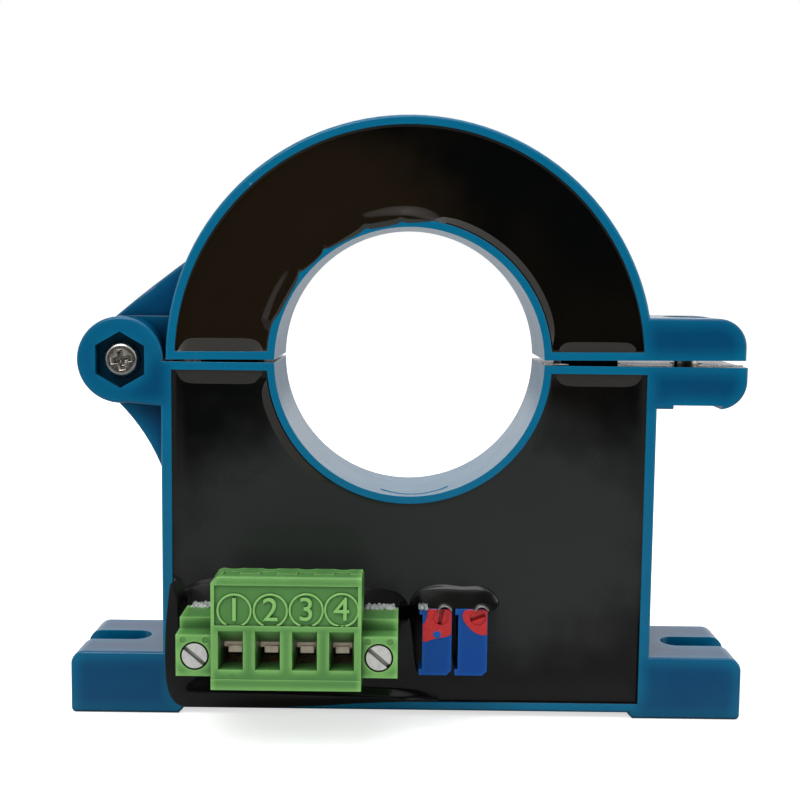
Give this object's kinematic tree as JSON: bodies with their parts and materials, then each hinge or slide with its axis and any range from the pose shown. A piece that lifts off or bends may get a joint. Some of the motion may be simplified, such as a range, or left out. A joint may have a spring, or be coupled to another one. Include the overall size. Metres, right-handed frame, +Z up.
{
  "type": "split-core current transducer",
  "caption": "Hinged split-core sensor that closes round a cable: blue moulded halves filled with black resin, screw clamp, feet with slots and a plug-in screw terminal.",
  "frame": {"origin": "middle of the cable window, half way through its depth", "axes": "+X to the clamp flange's side, +Y along the cable to the closed back, +Z up from the feet"},
  "size_m": [0.1018, 0.0357, 0.0901],
  "materials": {
    "blue_plastic": "fine satin moulded plastic",
    "potting_resin": "glossy cast resin",
    "green_plastic": "satin moulded plastic",
    "trimmer_plastic": "satin moulded plastic",
    "red_lacquer": "glossy brushed-on lacquer",
    "nickel_steel": "nickel plated",
    "zinc_steel": "zinc plated",
    "brass": "turned",
    "tinned_brass": "tinned",
    "plated_brass": "nickel plated",
    "core_metal": "matt",
    "sensor_plastic": "matt moulded",
    "board": "solder mask"
  },
  "bodies": {
    "base": {"lower_housing": "blue_plastic", "lower_potting": "potting_resin", "lower_core_left": "core_metal", "lower_core_right": "core_metal", "field_sensor": "sensor_plastic", "circuit_board": "board", "amplifier_chip": "sensor_plastic", "hinge_screw": "nickel_steel", "hinge_nut": "nickel_steel", "clamp_nut": "nickel_steel", "terminal_header": "green_plastic", "header_pin_1": "tinned_brass", "header_pin_2": "tinned_brass", "header_pin_3": "tinned_brass", "header_pin_4": "tinned_brass", "flange_insert_left": "plated_brass", "flange_insert_right": "plated_brass", "trimmer_left": "trimmer_plastic", "trimmer_right": "trimmer_plastic", "trimmer_lacquer_left": "red_lacquer", "trimmer_lacquer_right": "red_lacquer"},
    "upper_half": {"upper_housing": "blue_plastic", "upper_potting": "potting_resin", "upper_core": "core_metal"},
    "clamp_screw": {"clamp_screw": "nickel_steel"},
    "plug": {"plug_housing": "green_plastic", "plug_contact_1": "tinned_brass", "plug_contact_2": "tinned_brass", "plug_contact_3": "tinned_brass", "plug_contact_4": "tinned_brass"},
    "terminal_screw_1": {"terminal_screw_1": "zinc_steel"},
    "clamp_cage_1": {"clamp_cage_1": "plated_brass"},
    "terminal_screw_2": {"terminal_screw_2": "zinc_steel"},
    "clamp_cage_2": {"clamp_cage_2": "plated_brass"},
    "terminal_screw_3": {"terminal_screw_3": "zinc_steel"},
    "clamp_cage_3": {"clamp_cage_3": "plated_brass"},
    "terminal_screw_4": {"terminal_screw_4": "zinc_steel"},
    "clamp_cage_4": {"clamp_cage_4": "plated_brass"},
    "flange_screw_left": {"flange_screw_left": "zinc_steel"},
    "flange_screw_right": {"flange_screw_right": "zinc_steel"},
    "trimmer_screw_left": {"trimmer_screw_left": "brass"},
    "trimmer_screw_right": {"trimmer_screw_right": "brass"}
  },
  "joints": [
    {"name": "opening_hinge", "type": "hinge", "parent": "base", "child": "upper_half", "pos_m": [-0.0429, 0, 0], "axis": [0, -1, 0], "range_deg": [0, 100]},
    {"name": "clamp_screw_turn", "type": "hinge", "parent": "upper_half", "child": "clamp_screw", "pos_m": [0.0429, 0, 0.005], "axis": [0, 0, 1], "continuous": true},
    {"name": "plug_pull", "type": "slide", "parent": "base", "child": "plug", "axis": [0, -1, 0], "range_m": [0, 0.014]},
    {"name": "terminal_screw_turn_1", "type": "hinge", "parent": "plug", "child": "terminal_screw_1", "pos_m": [-0.02412, -0.0208, -0.0315], "axis": [0, 0, -1], "range_deg": [0, 1370]},
    {"name": "clamp_cage_lift_1", "type": "slide", "parent": "plug", "child": "clamp_cage_1", "axis": [0, 0, 1], "range_m": [0, 0.0019]},
    {"name": "terminal_screw_turn_2", "type": "hinge", "parent": "plug", "child": "terminal_screw_2", "pos_m": [-0.01904, -0.0208, -0.0315], "axis": [0, 0, -1], "range_deg": [0, 1370]},
    {"name": "clamp_cage_lift_2", "type": "slide", "parent": "plug", "child": "clamp_cage_2", "axis": [0, 0, 1], "range_m": [0, 0.0019]},
    {"name": "terminal_screw_turn_3", "type": "hinge", "parent": "plug", "child": "terminal_screw_3", "pos_m": [-0.01396, -0.0208, -0.0315], "axis": [0, 0, -1], "range_deg": [0, 1370]},
    {"name": "clamp_cage_lift_3", "type": "slide", "parent": "plug", "child": "clamp_cage_3", "axis": [0, 0, 1], "range_m": [0, 0.0019]},
    {"name": "terminal_screw_turn_4", "type": "hinge", "parent": "plug", "child": "terminal_screw_4", "pos_m": [-0.00888, -0.0208, -0.0315], "axis": [0, 0, -1], "range_deg": [0, 1370]},
    {"name": "clamp_cage_lift_4", "type": "slide", "parent": "plug", "child": "clamp_cage_4", "axis": [0, 0, 1], "range_m": [0, 0.0019]},
    {"name": "flange_screw_turn_left", "type": "hinge", "parent": "plug", "child": "flange_screw_left", "pos_m": [-0.0292, -0.0245, -0.0396], "axis": [0, 1, 0], "continuous": true},
    {"name": "flange_screw_turn_right", "type": "hinge", "parent": "plug", "child": "flange_screw_right", "pos_m": [-0.0038, -0.0245, -0.0396], "axis": [0, 1, 0], "continuous": true},
    {"name": "trimmer_screw_turn_left", "type": "hinge", "parent": "base", "child": "trimmer_screw_left", "pos_m": [0.00505, -0.0133, -0.03685], "axis": [0, 1, 0], "continuous": true},
    {"name": "trimmer_screw_turn_right", "type": "hinge", "parent": "base", "child": "trimmer_screw_right", "pos_m": [0.01045, -0.0133, -0.03685], "axis": [0, 1, 0], "continuous": true}
  ],
  "couplings": [
    {"joint": "terminal_screw_turn_1", "follows": "clamp_cage_lift_1", "rad_per_m": 12566},
    {"joint": "terminal_screw_turn_2", "follows": "clamp_cage_lift_2", "rad_per_m": 12566},
    {"joint": "terminal_screw_turn_3", "follows": "clamp_cage_lift_3", "rad_per_m": 12566},
    {"joint": "terminal_screw_turn_4", "follows": "clamp_cage_lift_4", "rad_per_m": 12566}
  ]
}
